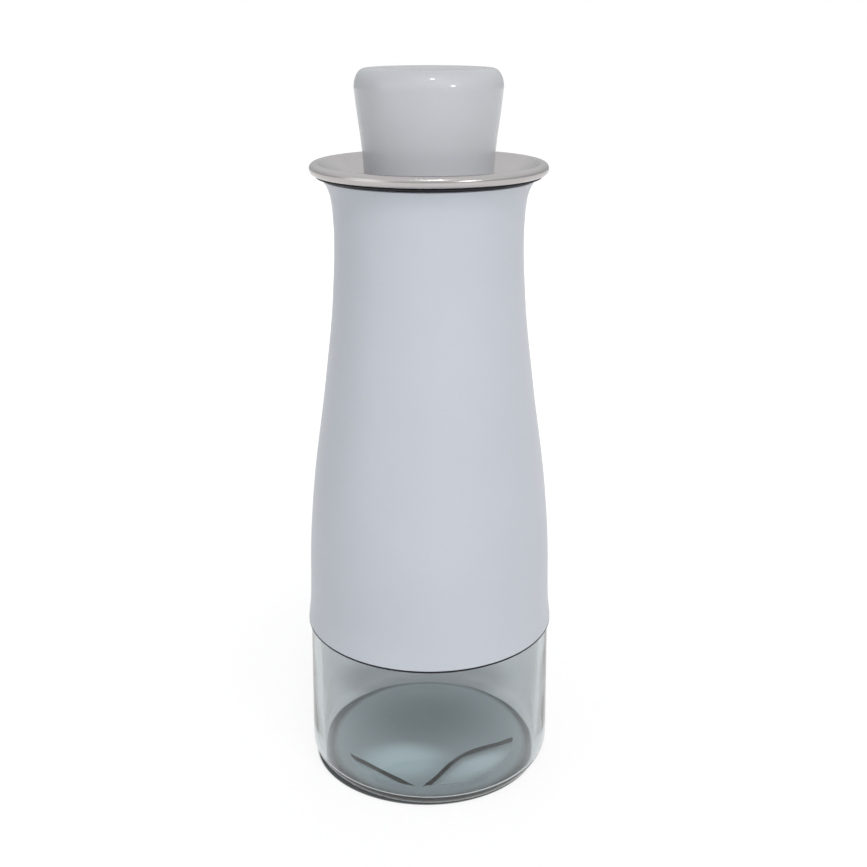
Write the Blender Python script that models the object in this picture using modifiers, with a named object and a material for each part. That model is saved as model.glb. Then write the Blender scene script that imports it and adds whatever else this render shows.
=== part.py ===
"""Oil bottle: a glass flask in a painted steel sleeve, with a steel pouring collar and a pull-out stopper.

The bottle stands on z = 0 and its axis is the Z axis. Run it in Blender 4.5:
blender --background --python part.py
"""

import math

import bmesh
import bpy

MM = 0.001

# Driving sizes of the whole bottle
SEGMENTS = 36
GAP = 0.3 * MM
MERGE = 0.02 * MM
CUT_OVERRUN = 2.0 * MM

# Painted steel sleeve
SLEEVE_FOOT_HEIGHT = 50.7 * MM
SLEEVE_FOOT_RADIUS = 40.0 * MM
SLEEVE_WAIST_RADIUS = 28.4 * MM
SLEEVE_FLARE_REACH = 3.0 * MM
SLEEVE_GAUGE = 0.5 * MM
SLEEVE_FLARE_HEIGHT = 17.3 * MM
SLEEVE_BODY_SPANS = 11
SLEEVE_FLARE_SPANS = 5
# Each pair is (share of the height from foot to waist, share of the radius from waist to foot).
SLEEVE_BODY_SHARES = (
    (0.00, 1.00),
    (0.06, 0.93),
    (0.20, 0.88),
    (0.37, 0.735),
    (0.64, 0.336),
    (0.86, 0.07),
    (1.00, 0.00),
)
# Each pair is (share of the flare's height, share of the radius from waist to lip).
SLEEVE_FLARE_SHARES = ((0.00, 0.00), (0.45, 0.07), (0.72, 0.27), (0.87, 0.54), (1.00, 1.00))

# Bead of sealant under the sleeve's lower edge
BEAD_WIDTH = 0.5 * MM
BEAD_HEIGHT = 0.7 * MM

# Glass bottle
GLASS_WALL = 3.0 * MM
GLASS_FOOT_SPREAD = 0.8 * MM
BASE_THICKNESS = 3.6 * MM
HEEL_RADIUS = 4.2 * MM
FLOOR_FILLET = 3.0 * MM
FLOOR_DOME = 1.0 * MM
STAND_WIDTH = 2.8 * MM
PUSH_UP = 1.2 * MM
PUSH_UP_SPANS = 3
HOLLOW_MARGIN = 3.9 * MM
HOLLOW_RISE = 1.2 * MM
HOLLOW_REACH = 9.0 * MM
HOLLOW_SIDES = 72
# The hollows under the foot lie outside two chords, at these bearings from +X, in degrees.
HOLLOW_CHORDS = ((-99.0, -4.5), (-157.5, -99.0))
MOUTH_HEIGHT = 184.2 * MM
FINISH_HEIGHT = 13.6 * MM
THREAD_DEPTH = 1.0 * MM
SHOULDER_HEIGHT = 6.4 * MM
LIP_ROUND = 0.9 * MM
GLASS_BODY_SPANS = 8
ARC_STEPS = 4

# Pouring collar, drawn from steel sheet
COLLAR_GAUGE = 0.6 * MM
COLLAR_DEPTH = 9.6 * MM
RIM_OVERHANG = 3.8 * MM
RIM_CURL_RADIUS = 1.7 * MM
RIM_CURL_TURN = math.radians(250.0)
RIM_CURL_STEPS = 10
DISH_MARGIN = 2.8 * MM
DISH_FILLET = 3.0 * MM
NECK_CLEARANCE = 2.0 * MM
THROAT_ROUND = 1.0 * MM

# Silicone washer, threaded ring and gasket that seat the collar
WASHER_THICKNESS = 1.2 * MM
RING_FLANGE = 1.3 * MM
RING_WALL = 2.7 * MM
RING_CHAMFER = 0.6 * MM
RING_SKIRT_CLEARANCE = 1.6 * MM
RING_SLEEVE_CLEARANCE = 1.3 * MM
GASKET_THICKNESS = 0.6 * MM
GASKET_PROUD = 1.9 * MM
GASKET_WIDTH = 3.3 * MM

# Pour insert, pressed up into the throat
INSERT_WALL = 1.4 * MM
INSERT_SKIRT = 4.8 * MM
INSERT_FLANGE = 1.1 * MM
POUR_HOLE_RADIUS = 5.0 * MM
POUR_LIP_WALL = 1.2 * MM
POUR_LIP_HEIGHT = 2.2 * MM
VENT_RADIUS = 1.9 * MM
VENT_LAND = 2.7 * MM
VENT_SIDES = 12

# Stopper: a hollow knob with a plug pressed up into its foot
KNOB_HEIGHT = 35.5 * MM
KNOB_WALL = 2.3 * MM
KNOB_FLARE = 2.6 * MM
KNOB_ROUND_WIDTH = 3.2 * MM
KNOB_ROUND_HEIGHT = 5.2 * MM
KNOB_ROUND_STEPS = 6
KNOB_FOOT_ROUND = 0.5 * MM
KNOB_DISH = 0.5 * MM
KNOB_DISH_SPANS = 3
KNOB_CEILING = 2.4 * MM
KNOB_SPANS = 5
# Each pair is (share of the height up to the round, share of the radius from foot to top).
KNOB_SHARES = ((0.00, 0.00), (0.23, 0.08), (0.46, 0.28), (0.80, 0.77), (1.00, 1.00))
SOCKET_DEPTH = 8.0 * MM
SOCKET_STEP = 1.3 * MM
PLUG_CLEARANCE = 0.6 * MM
PLUG_NOSE = 2.1 * MM
PLUG_STANDOFF = 3.1 * MM
PLUG_WALL = 1.5 * MM
PLUG_CHAMFER = 0.6 * MM
SEAL_GROOVE_DEPTH = 1.2 * MM
SEAL_HEIGHT = 2.0 * MM
SEAL_FIRST_DROP = 2.0 * MM
SEAL_LAND = 1.8 * MM
SEAL_COUNT = 2
SEAL_BULGE_ANGLE = 60.0
SEAL_STEPS = 2

# Lengths that follow from those sizes
SEAL_PITCH = SEAL_HEIGHT + SEAL_LAND
PLUG_LENGTH = SEAL_FIRST_DROP + SEAL_HEIGHT + SEAL_PITCH * (SEAL_COUNT - 1) + PLUG_NOSE

# Heights that follow from those sizes, from the mouth of the glass upwards
WASHER_BOTTOM = MOUTH_HEIGHT + GAP
RING_FLANGE_BOTTOM = WASHER_BOTTOM + WASHER_THICKNESS + GAP
RING_TOP = RING_FLANGE_BOTTOM + RING_FLANGE
DISH_FLOOR = RING_TOP + GAP + COLLAR_GAUGE
RIM_TOP = DISH_FLOOR + COLLAR_DEPTH
RIM_CENTRE = RIM_TOP - RIM_CURL_RADIUS
KNOB_SEAT = DISH_FLOOR + GAP
GASKET_TOP = RIM_CENTRE - RIM_CURL_RADIUS - GAP
SLEEVE_LIP_TOP = GASKET_TOP - GASKET_THICKNESS - GAP
SLEEVE_LIP_HEIGHT = SLEEVE_LIP_TOP - SLEEVE_GAUGE
SLEEVE_WAIST_HEIGHT = SLEEVE_LIP_HEIGHT - SLEEVE_FLARE_HEIGHT
INSERT_TOP = KNOB_SEAT - PLUG_LENGTH - PLUG_STANDOFF
THROAT_BOTTOM = INSERT_TOP - INSERT_SKIRT + GAP

# Radii that follow from those sizes, from the sleeve inwards and out again
SLEEVE_LIP_RADIUS = SLEEVE_WAIST_RADIUS + SLEEVE_FLARE_REACH
BOTTLE_RADIUS = SLEEVE_FOOT_RADIUS - SLEEVE_GAUGE - GAP
FOOT_RADIUS = BOTTLE_RADIUS + GLASS_FOOT_SPREAD
STAND_INNER_RADIUS = FOOT_RADIUS - HEEL_RADIUS - STAND_WIDTH
HOLLOW_RADIUS = STAND_INNER_RADIUS - HOLLOW_MARGIN
RING_RADIUS = SLEEVE_WAIST_RADIUS - SLEEVE_GAUGE - RING_SLEEVE_CLEARANCE
RING_BORE = RING_RADIUS - RING_WALL
FINISH_RADIUS = RING_BORE - THREAD_DEPTH - GAP
MOUTH_RADIUS = FINISH_RADIUS - GLASS_WALL
THROAT_RADIUS = MOUTH_RADIUS - NECK_CLEARANCE - COLLAR_GAUGE
PLUG_RADIUS = THROAT_RADIUS - PLUG_CLEARANCE
KNOB_FOOT_RADIUS = PLUG_RADIUS + GAP + KNOB_WALL
KNOB_TOP_RADIUS = KNOB_FOOT_RADIUS + KNOB_FLARE
DISH_FLOOR_RADIUS = KNOB_FOOT_RADIUS + DISH_MARGIN
GASKET_RADIUS = SLEEVE_LIP_RADIUS + GASKET_PROUD
RIM_CENTRE_RADIUS = SLEEVE_LIP_RADIUS + RIM_OVERHANG - RIM_CURL_RADIUS
VENT_OFFSET = POUR_HOLE_RADIUS + POUR_LIP_WALL + VENT_LAND + VENT_RADIUS


class MonotoneCurve:
    """A smooth curve through (height, radius) knots that never overshoots them."""

    def __init__(self, knots):
        self.knots = knots
        rises = [b[0] - a[0] for a, b in zip(knots, knots[1:])]
        slopes = [(b[1] - a[1]) / rise for a, b, rise in zip(knots, knots[1:], rises)]
        tangents = [slopes[0]]
        for before, after in zip(slopes, slopes[1:]):
            level = before * after <= 0
            tangents.append(0 if level else 2 * before * after / (before + after))
        tangents.append(slopes[-1])
        self.tangents = tangents

    def radius_at(self, height):
        spans = len(self.knots) - 1
        index = sum(height >= knot[0] for knot in self.knots[1:spans])
        low, high = self.knots[index], self.knots[index + 1]
        rise = high[0] - low[0]
        t = (height - low[0]) / rise
        return (
            (2 * t**3 - 3 * t**2 + 1) * low[1]
            + (t**3 - 2 * t**2 + t) * rise * self.tangents[index]
            + (3 * t**2 - 2 * t**3) * high[1]
            + (t**3 - t**2) * rise * self.tangents[index + 1]
        )


def sleeve_outline():
    """The sleeve's outer face, from its foot to its flared lip."""
    body = [
        (
            SLEEVE_FOOT_HEIGHT + up * (SLEEVE_WAIST_HEIGHT - SLEEVE_FOOT_HEIGHT),
            SLEEVE_WAIST_RADIUS + out * (SLEEVE_FOOT_RADIUS - SLEEVE_WAIST_RADIUS),
        )
        for up, out in SLEEVE_BODY_SHARES
    ]
    flare = [
        (
            SLEEVE_WAIST_HEIGHT + up * SLEEVE_FLARE_HEIGHT,
            SLEEVE_WAIST_RADIUS + out * (SLEEVE_LIP_RADIUS - SLEEVE_WAIST_RADIUS),
        )
        for up, out in SLEEVE_FLARE_SHARES
    ]
    return MonotoneCurve(body + flare[1:])


def spread(low, high, spans):
    """Evenly spaced values from low to high, both ends included."""
    return [low + (high - low) * i / spans for i in range(spans + 1)]


def arc(centre_radius, centre_height, radius, start, end, steps=ARC_STEPS, stretch=1.0):
    """Points on an arc in the (radius, height) plane; angles in degrees from the outward direction."""
    return [
        (
            centre_radius + radius * math.cos(math.radians(angle)),
            centre_height + radius * stretch * math.sin(math.radians(angle)),
        )
        for angle in spread(start, end, steps)
    ]


def make_material(name, colour, roughness, metallic=0.0, transmission=0.0, ior=1.5):
    material = bpy.data.materials.new(name)
    material.use_nodes = True
    shader = material.node_tree.nodes["Principled BSDF"]
    shader.inputs["Base Color"].default_value = (*colour, 1.0)
    shader.inputs["Roughness"].default_value = roughness
    shader.inputs["Metallic"].default_value = metallic
    shader.inputs["Transmission Weight"].default_value = transmission
    shader.inputs["IOR"].default_value = ior
    return material


def make_empty(name, height, collection, parent=None):
    """An empty on the bottle's axis that carries the pieces of one moving body."""
    empty = bpy.data.objects.new(name, None)
    collection.objects.link(empty)
    empty.parent = parent
    base = parent.matrix_world.translation.z if parent else 0.0
    empty.location.z = height - base
    bpy.context.view_layer.update()
    return empty


def turned(name, profile, carrier, material, closed):
    """A piece turned about the axis, from (radius, height) points that run down its outer side.

    The profile is in the bottle's own heights; the piece has its origin on its carrier.
    """
    mesh = bpy.data.meshes.new(name)
    base = carrier.matrix_world.translation.z
    shape = bmesh.new()
    verts = [shape.verts.new((radius, 0.0, height - base)) for radius, height in profile]
    pairs = zip(verts, verts[1:] + verts[:1]) if closed else zip(verts, verts[1:])
    for pair in pairs:
        shape.edges.new(pair)
    shape.to_mesh(mesh)
    shape.free()
    piece = bpy.data.objects.new(name, mesh)
    carrier.users_collection[0].objects.link(piece)
    piece.parent = carrier
    mesh.materials.append(material)
    screw = piece.modifiers.new("Turn", "SCREW")
    screw.axis = "Z"
    screw.steps = screw.render_steps = SEGMENTS
    screw.use_merge_vertices = True
    screw.merge_threshold = MERGE
    screw.use_smooth_shade = True
    return piece


def thicken(piece, gauge):
    """Gives a turned sheet its gauge, on the side away from its face."""
    solidify = piece.modifiers.new("Gauge", "SOLIDIFY")
    solidify.thickness = gauge
    solidify.offset = -1.0
    solidify.use_even_offset = True
    return piece


def cut(piece, cutter, operation="DIFFERENCE"):
    """Takes the cutter's shape out of a piece, or keeps only what lies inside it."""
    boolean = piece.modifiers.new("Cut " + cutter.name, "BOOLEAN")
    boolean.operation = operation
    boolean.solver = "EXACT"
    boolean.object = cutter


def make_cutter(name, sides, low_radius, high_radius, bottom, top, collection, x=0.0):
    """An upright prism or pyramid stump that cuts another piece."""
    mesh = bpy.data.meshes.new(name)
    shape = bmesh.new()
    bmesh.ops.create_cone(
        shape,
        cap_ends=True,
        segments=sides,
        radius1=low_radius,
        radius2=high_radius,
        depth=top - bottom,
    )
    shape.to_mesh(mesh)
    shape.free()
    cutter = bpy.data.objects.new(name, mesh)
    collection.objects.link(cutter)
    cutter.location = (x, 0.0, (bottom + top) / 2)
    cutter.display_type = "WIRE"
    cutter.hide_render = True
    return cutter


def glass_outline(sleeve):
    """The glass from the middle of its floor, up inside, over the mouth and down outside to the base."""
    finish_bottom = MOUTH_HEIGHT - FINISH_HEIGHT
    shoulder_bottom = finish_bottom - SHOULDER_HEIGHT
    inside_fit = SLEEVE_GAUGE + GAP
    shoulder_radius = sleeve.radius_at(shoulder_bottom) - inside_fit
    inner_base = FOOT_RADIUS - GLASS_WALL
    body_heights = spread(SLEEVE_FOOT_HEIGHT, shoulder_bottom, GLASS_BODY_SPANS)
    fillet_radius = inner_base - FLOOR_FILLET
    shoulder_reach = shoulder_radius - FINISH_RADIUS
    stretch = SHOULDER_HEIGHT / shoulder_reach
    floor = [(0.0, BASE_THICKNESS + FLOOR_DOME), (fillet_radius, BASE_THICKNESS)]
    inner_corner = arc(fillet_radius, BASE_THICKNESS + FLOOR_FILLET, FLOOR_FILLET, -90, 0)[1:]
    inner_body = [(sleeve.radius_at(z) - inside_fit - GLASS_WALL, z) for z in body_heights]
    inner_shoulder = arc(
        MOUTH_RADIUS, shoulder_bottom, shoulder_reach, 0, 90, stretch=stretch
    )[1:]
    mouth = [
        (MOUTH_RADIUS, MOUTH_HEIGHT - LIP_ROUND),
        (MOUTH_RADIUS + LIP_ROUND, MOUTH_HEIGHT),
        (FINISH_RADIUS - LIP_ROUND, MOUTH_HEIGHT),
        (FINISH_RADIUS, MOUTH_HEIGHT - LIP_ROUND),
    ]
    outer_shoulder = arc(
        FINISH_RADIUS, shoulder_bottom, shoulder_reach, 90, 0, stretch=stretch
    )[:-1]
    outer_body = [(sleeve.radius_at(z) - inside_fit, z) for z in reversed(body_heights)]
    heel = arc(FOOT_RADIUS - HEEL_RADIUS, HEEL_RADIUS, HEEL_RADIUS, 0, -90)
    underside = [(r, push_up_height(r)) for r in spread(STAND_INNER_RADIUS, 0.0, PUSH_UP_SPANS)]
    return (
        floor
        + inner_corner
        + inner_body
        + inner_shoulder
        + mouth
        + outer_shoulder
        + outer_body
        + heel
        + underside
    )


def push_up_height(radius):
    """Height of the underside's shallow push-up at a radius inside the stand ring."""
    return PUSH_UP * (1 - (radius / STAND_INNER_RADIUS) ** 2)


def make_hollow(name, start, end, edge, collection):
    """A drum that lies along a chord of the round edge: inside that edge it cuts a scoop beyond the chord."""
    half = math.radians(end - start) / 2
    bearing = math.radians(start) + half
    chord_radius = HOLLOW_RADIUS * math.cos(half)
    drum_radius = (HOLLOW_REACH**2 + HOLLOW_RISE**2) / (2 * HOLLOW_RISE)
    drum_length = 2 * HOLLOW_RADIUS
    drum = make_cutter(
        name, HOLLOW_SIDES, drum_radius, drum_radius, -drum_length / 2, drum_length / 2, collection
    )
    drum.rotation_euler = (math.pi / 2, 0.0, bearing)
    offset = chord_radius + HOLLOW_REACH
    drum.location.x = offset * math.cos(bearing)
    drum.location.y = offset * math.sin(bearing)
    drum.location.z = push_up_height(chord_radius) + HOLLOW_RISE - drum_radius
    cut(drum, edge, "INTERSECT")
    return drum


def make_bottle(carrier, cutters, sleeve, glass):
    """The glass, with two hollows pressed up into its shallow push-up, seen through the floor."""
    bottle = turned("glass_bottle", glass_outline(sleeve), carrier, glass, closed=False)
    edge = make_cutter(
        "hollow_edge",
        SEGMENTS,
        HOLLOW_RADIUS,
        HOLLOW_RADIUS,
        -CUT_OVERRUN,
        PUSH_UP + HOLLOW_RISE + CUT_OVERRUN,
        cutters,
    )
    for index, (start, end) in enumerate(HOLLOW_CHORDS):
        cut(bottle, make_hollow(f"hollow_cutter_{index + 1}", start, end, edge, cutters))
    return bottle


def make_sleeve(carrier, sleeve, enamel):
    body = spread(SLEEVE_FOOT_HEIGHT, SLEEVE_WAIST_HEIGHT, SLEEVE_BODY_SPANS)
    flare = spread(SLEEVE_WAIST_HEIGHT, SLEEVE_LIP_HEIGHT, SLEEVE_FLARE_SPANS)
    heights = body + flare[1:]
    face = [(sleeve.radius_at(z), z) for z in reversed(heights)]
    return thicken(turned("steel_sleeve", face, carrier, enamel, closed=False), SLEEVE_GAUGE)


def make_seal_bead(carrier, silicone):
    """The thin dark line that closes the step from the sleeve's edge to the glass."""
    inner = BOTTLE_RADIUS + GAP
    top = SLEEVE_FOOT_HEIGHT - GAP
    section = [
        (inner + BEAD_WIDTH, top),
        (inner + BEAD_WIDTH, top - BEAD_HEIGHT / 2),
        (inner, top - BEAD_HEIGHT),
        (inner, top),
    ]
    return turned("sleeve_seal_bead", section, carrier, silicone, closed=True)


def dish_slope():
    """Slope of the dish's cone, from its floor to a tangent on the rim's curl."""
    out = RIM_CENTRE_RADIUS - DISH_FLOOR_RADIUS
    up = RIM_CENTRE - DISH_FLOOR
    return math.atan2(up, out) + math.asin(RIM_CURL_RADIUS / math.hypot(out, up))


def collar_face():
    """The collar's upper face: up the throat, across the dish, up the cone and over the curled rim."""
    slope = dish_slope()
    throat_turn = (THROAT_RADIUS + THROAT_ROUND, DISH_FLOOR - THROAT_ROUND)
    fillet_start = DISH_FLOOR_RADIUS - DISH_FILLET * math.tan(slope / 2)
    throat = [(THROAT_RADIUS, THROAT_BOTTOM)] + arc(*throat_turn, THROAT_ROUND, 180, 90)
    fillet = arc(
        fillet_start,
        DISH_FLOOR + DISH_FILLET,
        DISH_FILLET,
        -90,
        math.degrees(slope) - 90,
    )
    curl_start = math.degrees(slope) + 90
    curl = arc(
        RIM_CENTRE_RADIUS,
        RIM_CENTRE,
        RIM_CURL_RADIUS,
        curl_start,
        curl_start - math.degrees(RIM_CURL_TURN),
        steps=RIM_CURL_STEPS,
    )
    return throat + fillet + curl


def make_collar(carrier, steel):
    return thicken(turned("pour_collar", collar_face(), carrier, steel, closed=False), COLLAR_GAUGE)


def make_washer(carrier, silicone):
    inner = MOUTH_RADIUS + GAP
    top = WASHER_BOTTOM + WASHER_THICKNESS
    section = [
        (FINISH_RADIUS, top),
        (FINISH_RADIUS, WASHER_BOTTOM),
        (inner, WASHER_BOTTOM),
        (inner, top),
    ]
    return turned("neck_washer", section, carrier, silicone, closed=True)


def make_thread_ring(carrier, plastic):
    """The moulded ring that screws onto the glass finish and carries the steel collar."""
    flange_bore = THROAT_RADIUS + COLLAR_GAUGE + GAP
    skirt_bottom = MOUTH_HEIGHT - FINISH_HEIGHT + RING_SKIRT_CLEARANCE
    section = [
        (RING_RADIUS - RING_CHAMFER, RING_TOP),
        (RING_RADIUS, RING_TOP - RING_CHAMFER),
        (RING_RADIUS, skirt_bottom + RING_CHAMFER),
        (RING_RADIUS - RING_CHAMFER, skirt_bottom),
        (RING_BORE, skirt_bottom),
        (RING_BORE, RING_FLANGE_BOTTOM),
        (flange_bore, RING_FLANGE_BOTTOM),
        (flange_bore, RING_TOP),
    ]
    return turned("thread_ring", section, carrier, plastic, closed=True)


def dish_underside_at(radius):
    """Height of the underside of the collar's cone at a radius."""
    slope = dish_slope()
    touch_radius = RIM_CENTRE_RADIUS - RIM_CURL_RADIUS * math.sin(slope)
    touch_height = RIM_CENTRE + RIM_CURL_RADIUS * math.cos(slope)
    drop = (touch_radius - radius) * math.tan(slope)
    return touch_height - COLLAR_GAUGE / math.cos(slope) - drop


def make_gasket(carrier, silicone):
    """A flat outer band over the sleeve's lip, and a cone that lies under the collar's dish."""
    slope = dish_slope()
    bottom = GASKET_TOP - GASKET_THICKNESS
    inner = GASKET_RADIUS - GASKET_WIDTH
    lift = GAP / math.cos(slope)
    band_edge = SLEEVE_LIP_RADIUS - SLEEVE_GAUGE - GAP
    inner_top = dish_underside_at(inner) - lift
    top_edge = inner + (GASKET_TOP - inner_top) / math.tan(slope)
    section = [
        (GASKET_RADIUS, GASKET_TOP),
        (GASKET_RADIUS, bottom),
        (band_edge, bottom),
        (inner, inner_top - GASKET_THICKNESS),
        (inner, inner_top),
        (top_edge, GASKET_TOP),
    ]
    return turned("collar_gasket", section, carrier, silicone, closed=True)


def make_insert(carrier, cutters, plastic):
    """The flow reducer: a cup with a lipped pouring hole and a vent."""
    outer = THROAT_RADIUS - GAP
    flange_top = INSERT_TOP - INSERT_SKIRT
    bottom = flange_top - INSERT_FLANGE
    floor_top = bottom + INSERT_WALL
    section = [
        (outer, INSERT_TOP),
        (outer, flange_top),
        (THROAT_RADIUS + COLLAR_GAUGE, flange_top),
        (THROAT_RADIUS + COLLAR_GAUGE, bottom),
        (POUR_HOLE_RADIUS, bottom),
        (POUR_HOLE_RADIUS, floor_top + POUR_LIP_HEIGHT),
        (POUR_HOLE_RADIUS + POUR_LIP_WALL, floor_top + POUR_LIP_HEIGHT),
        (POUR_HOLE_RADIUS + POUR_LIP_WALL, floor_top),
        (outer - INSERT_WALL, floor_top),
        (outer - INSERT_WALL, INSERT_TOP),
    ]
    insert = turned("pour_insert", section, carrier, plastic, closed=True)
    vent = make_cutter(
        "vent_cutter",
        VENT_SIDES,
        VENT_RADIUS,
        VENT_RADIUS,
        bottom - CUT_OVERRUN,
        floor_top + CUT_OVERRUN,
        cutters,
        x=VENT_OFFSET,
    )
    cut(insert, vent)
    return insert


def knob_outline():
    """The knob's outer side, from its foot to the start of its top round."""
    straight = KNOB_HEIGHT - KNOB_ROUND_HEIGHT
    return MonotoneCurve(
        [
            (
                KNOB_SEAT + up * straight,
                KNOB_FOOT_RADIUS + out * (KNOB_TOP_RADIUS - KNOB_FOOT_RADIUS),
            )
            for up, out in KNOB_SHARES
        ]
    )


def make_stopper_shell(carrier, plastic):
    """The knob: a waisted side, a round shoulder and a slightly dished top, cored from below."""
    knob = knob_outline()
    top = KNOB_SEAT + KNOB_HEIGHT
    round_base = top - KNOB_ROUND_HEIGHT
    face_radius = KNOB_TOP_RADIUS - KNOB_ROUND_WIDTH
    face = [
        (radius, top - KNOB_DISH * (1 + math.cos(math.pi * radius / face_radius)) / 2)
        for radius in spread(0.0, face_radius, KNOB_DISH_SPANS)
    ]
    shoulder = arc(
        face_radius,
        round_base,
        KNOB_ROUND_WIDTH,
        90,
        0,
        steps=KNOB_ROUND_STEPS,
        stretch=KNOB_ROUND_HEIGHT / KNOB_ROUND_WIDTH,
    )[1:]
    heights = spread(KNOB_SEAT + KNOB_FOOT_ROUND, round_base, KNOB_SPANS)
    side = [(knob.radius_at(z), z) for z in reversed(heights[:-1])]
    bore = PLUG_RADIUS + GAP
    ceiling = top - KNOB_DISH - KNOB_CEILING
    inside = [
        (KNOB_FOOT_RADIUS - KNOB_FOOT_ROUND, KNOB_SEAT),
        (bore, KNOB_SEAT),
        (bore, KNOB_SEAT + SOCKET_DEPTH),
        (bore - SOCKET_STEP, KNOB_SEAT + SOCKET_DEPTH),
        (bore - SOCKET_STEP, ceiling),
        (0.0, ceiling),
    ]
    return turned("stopper_shell", face + shoulder + side + inside, carrier, plastic, closed=False)


def seal_heights():
    """Mid-heights of the seals on the plug, from the top one down."""
    first = KNOB_SEAT - SEAL_FIRST_DROP - SEAL_HEIGHT / 2
    return [first - SEAL_PITCH * i for i in range(SEAL_COUNT)]


def make_stopper_plug(carrier, plastic):
    """A cup pressed up into the knob, with a groove for each seal on the part that hangs in the throat."""
    rim = KNOB_SEAT + SOCKET_DEPTH - GAP
    bottom = KNOB_SEAT - PLUG_LENGTH
    root = PLUG_RADIUS - SEAL_GROOVE_DEPTH
    inside = root - PLUG_WALL
    grooves = []
    for height in seal_heights():
        half = SEAL_HEIGHT / 2 + GAP
        grooves += [
            (PLUG_RADIUS, height + half),
            (root, height + half),
            (root, height - half),
            (PLUG_RADIUS, height - half),
        ]
    profile = [
        (0.0, bottom + PLUG_WALL),
        (inside, bottom + PLUG_WALL),
        (inside, rim),
        (PLUG_RADIUS - PLUG_CHAMFER, rim),
        (PLUG_RADIUS, rim - PLUG_CHAMFER),
        *grooves,
        (PLUG_RADIUS, bottom + PLUG_CHAMFER),
        (PLUG_RADIUS - PLUG_CHAMFER, bottom),
        (0.0, bottom),
    ]
    return turned("stopper_plug", profile, carrier, plastic, closed=False)


def make_seal(index, height, carrier, silicone):
    """A silicone ring with a rounded face, in its groove."""
    inner = PLUG_RADIUS - SEAL_GROOVE_DEPTH + GAP
    half = SEAL_HEIGHT / 2
    crown = THROAT_RADIUS - GAP - half
    bulge = arc(crown, height, half, SEAL_BULGE_ANGLE, -SEAL_BULGE_ANGLE, steps=SEAL_STEPS)
    section = [
        (crown, height + half),
        *bulge,
        (crown, height - half),
        (inner, height - half),
        (inner, height + half),
    ]
    return turned(f"stopper_seal_{index + 1}", section, carrier, silicone, closed=True)


def clear_scene():
    for obj in list(bpy.data.objects):
        bpy.data.objects.remove(obj)


def main():
    clear_scene()
    scene = bpy.context.scene
    parts = bpy.data.collections.new("oil_bottle")
    cutters = bpy.data.collections.new("cutters")
    scene.collection.children.link(parts)
    scene.collection.children.link(cutters)

    glass = make_material("soda_lime_glass", (0.80, 0.88, 0.87), 0.03, transmission=1.0, ior=1.52)
    enamel = make_material("white_enamel", (0.76, 0.79, 0.83), 0.32)
    steel = make_material("polished_steel", (0.74, 0.73, 0.72), 0.18, metallic=1.0)
    black_silicone = make_material("black_silicone", (0.010, 0.010, 0.014), 0.55)
    clear_silicone = make_material("clear_silicone", (0.72, 0.73, 0.72), 0.45)
    white_plastic = make_material("white_plastic", (0.78, 0.79, 0.80), 0.20)
    plain_plastic = make_material("natural_plastic", (0.70, 0.71, 0.70), 0.40)

    sleeve = sleeve_outline()
    bottle_axis = make_empty("bottle_axis", 0.0, parts)
    gasket_axis = make_empty("gasket_axis", GASKET_TOP, parts, bottle_axis)
    collar_axis = make_empty("collar_axis", DISH_FLOOR, parts, gasket_axis)
    stopper_axis = make_empty("stopper_axis", KNOB_SEAT, parts, collar_axis)

    make_bottle(bottle_axis, cutters, sleeve, glass)
    make_sleeve(bottle_axis, sleeve, enamel)
    make_seal_bead(bottle_axis, black_silicone)
    make_gasket(gasket_axis, black_silicone)
    make_collar(collar_axis, steel)
    make_washer(collar_axis, clear_silicone)
    make_thread_ring(collar_axis, plain_plastic)
    make_insert(collar_axis, cutters, plain_plastic)
    make_stopper_shell(stopper_axis, white_plastic)
    make_stopper_plug(stopper_axis, plain_plastic)
    for index, height in enumerate(seal_heights()):
        make_seal(index, height, stopper_axis, clear_silicone)


main()
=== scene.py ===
"""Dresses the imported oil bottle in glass, enamel, steel and plastic, and sets a pale stage."""

import math

import bmesh
import bpy
from bpy.props import FloatProperty, FloatVectorProperty, PointerProperty, StringProperty
from mathutils import Euler, Matrix, Vector


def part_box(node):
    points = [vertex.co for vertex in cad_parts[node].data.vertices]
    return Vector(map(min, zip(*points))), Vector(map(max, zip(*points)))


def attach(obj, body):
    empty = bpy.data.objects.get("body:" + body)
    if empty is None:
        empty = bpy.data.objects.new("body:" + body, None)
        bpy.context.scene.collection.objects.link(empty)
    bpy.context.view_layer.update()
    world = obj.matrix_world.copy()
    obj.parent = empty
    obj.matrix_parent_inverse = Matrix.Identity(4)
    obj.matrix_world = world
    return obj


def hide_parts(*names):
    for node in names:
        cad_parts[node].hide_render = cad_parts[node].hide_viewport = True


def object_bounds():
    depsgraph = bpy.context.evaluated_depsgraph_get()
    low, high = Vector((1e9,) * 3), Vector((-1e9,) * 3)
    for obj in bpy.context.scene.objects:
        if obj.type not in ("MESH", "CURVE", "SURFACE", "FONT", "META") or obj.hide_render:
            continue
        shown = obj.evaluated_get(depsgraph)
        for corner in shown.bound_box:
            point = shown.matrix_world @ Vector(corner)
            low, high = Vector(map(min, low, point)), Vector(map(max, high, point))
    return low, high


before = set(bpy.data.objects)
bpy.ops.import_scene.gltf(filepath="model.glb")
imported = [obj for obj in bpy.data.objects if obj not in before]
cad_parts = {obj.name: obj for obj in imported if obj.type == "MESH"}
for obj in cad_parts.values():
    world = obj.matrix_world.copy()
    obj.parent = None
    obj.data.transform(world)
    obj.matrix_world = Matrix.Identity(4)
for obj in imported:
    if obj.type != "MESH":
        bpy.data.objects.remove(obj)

bl_info = {
    "name": "Oil Bottle",
    "version": (1, 0, 0),
    "blender": (4, 5, 0),
    "location": "3D View > Sidebar > Oil Bottle",
    "description": "Models a glass oil bottle with a painted sleeve, a steel collar and a stopper",
    "category": "Object",
}

MM = 0.001
CAD_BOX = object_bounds()

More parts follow.
